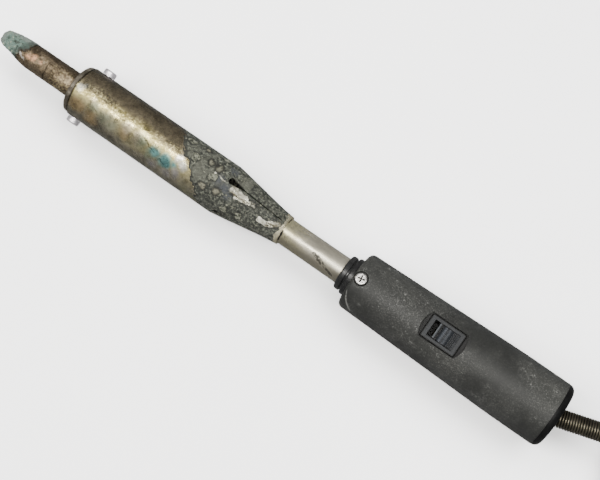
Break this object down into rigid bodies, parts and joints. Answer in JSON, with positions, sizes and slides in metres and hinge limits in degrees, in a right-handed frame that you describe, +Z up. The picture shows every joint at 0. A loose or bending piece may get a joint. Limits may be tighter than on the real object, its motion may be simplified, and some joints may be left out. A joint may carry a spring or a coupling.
{
  "type": "soldering iron",
  "caption": "Heavy mains soldering iron: copper bit in a steel barrel with clamp screws, slim neck, round handle with slide switch, spring strain relief, tied cord and plug.",
  "frame": {"origin": "On the floor under the middle of the iron's length, the cord and plug left out, with the iron lying down.", "axes": "+X along the iron's axis towards the tip, +Z up, the way the switch faces, and +Y to the iron's left seen from the handle."},
  "size_m": [0.6309, 0.0648, 0.0374],
  "materials": {
    "copper_bit": "worn oxidised copper, tinned and corroded at the point",
    "holder_steel": "heat-browned steel",
    "clamp_screw_steel": "bright zinc-plated steel",
    "barrel_steel": "heat-tinted steel with burnt-on crust",
    "neck_steel": "satin steel tube, slightly yellowed",
    "inner_steel": "plain steel",
    "mica": "rolled mica sheet",
    "heater_wire": "nickel-chromium and nickel wire",
    "ceramic": "unglazed steatite",
    "collar_plastic": "gloss black phenolic",
    "handle_plastic": "matte charcoal thermoset with dust and scratches",
    "end_cap_plastic": "satin black plastic",
    "screw_steel": "bright nickel-plated steel",
    "switch_bezel_plastic": "mid-grey plastic",
    "switch_slider_plastic": "bluish-black plastic",
    "contact_brass": "plain brass",
    "cord_rubber": "matte dark grey rubber sheath",
    "wire_insulation": "brown and blue insulated cores",
    "earth_insulation": "green and yellow insulated core",
    "spring_steel": "brownish nickel-plated spring wire",
    "tie_fabric": "woven hook-and-loop strap",
    "plug_plastic": "moulded black plug",
    "plug_metal": "nickel-plated brass"
  },
  "bodies": {
    "iron": {"bit_holder": "holder_steel", "barrel_shell": "barrel_steel", "core_tube": "inner_steel", "mica_inner": "mica", "mica_outer": "mica", "heating_winding": "heater_wire", "front_insulator": "ceramic", "rear_insulator": "ceramic", "heater_leads": "heater_wire", "ceramic_beads": "ceramic", "neck_tube": "neck_steel", "heat_collar": "collar_plastic", "neck_bush": "inner_steel", "handle_shell": "handle_plastic", "handle_screw": "screw_steel", "end_cap": "end_cap_plastic", "cord_clamp": "end_cap_plastic", "cord_clamp_screws": "screw_steel", "switch_housing": "switch_bezel_plastic", "switch_base": "switch_bezel_plastic", "switch_terminals": "contact_brass", "inner_cord": "cord_rubber", "terminal_block": "ceramic", "terminal_sleeves": "contact_brass", "terminal_screws": "screw_steel", "supply_wires": "wire_insulation", "switched_wire": "wire_insulation", "earth_clamp": "contact_brass", "earth_screw": "screw_steel", "earth_wire": "earth_insulation", "strain_relief_spring": "spring_steel", "power_cord": "cord_rubber", "cord_hank": "cord_rubber", "cord_tail": "cord_rubber", "cord_tie": "tie_fabric", "plug_boot": "plug_plastic", "plug_body": "plug_plastic", "plug_pins": "plug_metal", "plug_earth_clips": "plug_metal"},
    "switch_slider": {"switch_slider": "switch_slider_plastic", "switch_contact": "contact_brass"},
    "bit": {"soldering_bit": "copper_bit"},
    "clamp_screw_left": {"clamp_screw_left": "clamp_screw_steel"},
    "clamp_screw_right": {"clamp_screw_right": "clamp_screw_steel"}
  },
  "joints": [
    {"name": "switch_slide", "type": "slide", "parent": "iron", "child": "switch_slider", "axis": [1, 0, 0], "range_m": [0, 0.0031]},
    {"name": "bit_slide", "type": "slide", "parent": "iron", "child": "bit", "axis": [1, 0, 0], "range_m": [0, 0.075]},
    {"name": "clamp_screw_left_out", "type": "slide", "parent": "iron", "child": "clamp_screw_left", "axis": [0, 0.9925, -0.1219], "range_m": [0, 0.0024]},
    {"name": "clamp_screw_right_out", "type": "slide", "parent": "iron", "child": "clamp_screw_right", "axis": [0, -0.9925, 0.1219], "range_m": [0, 0.0024]}
  ]
}
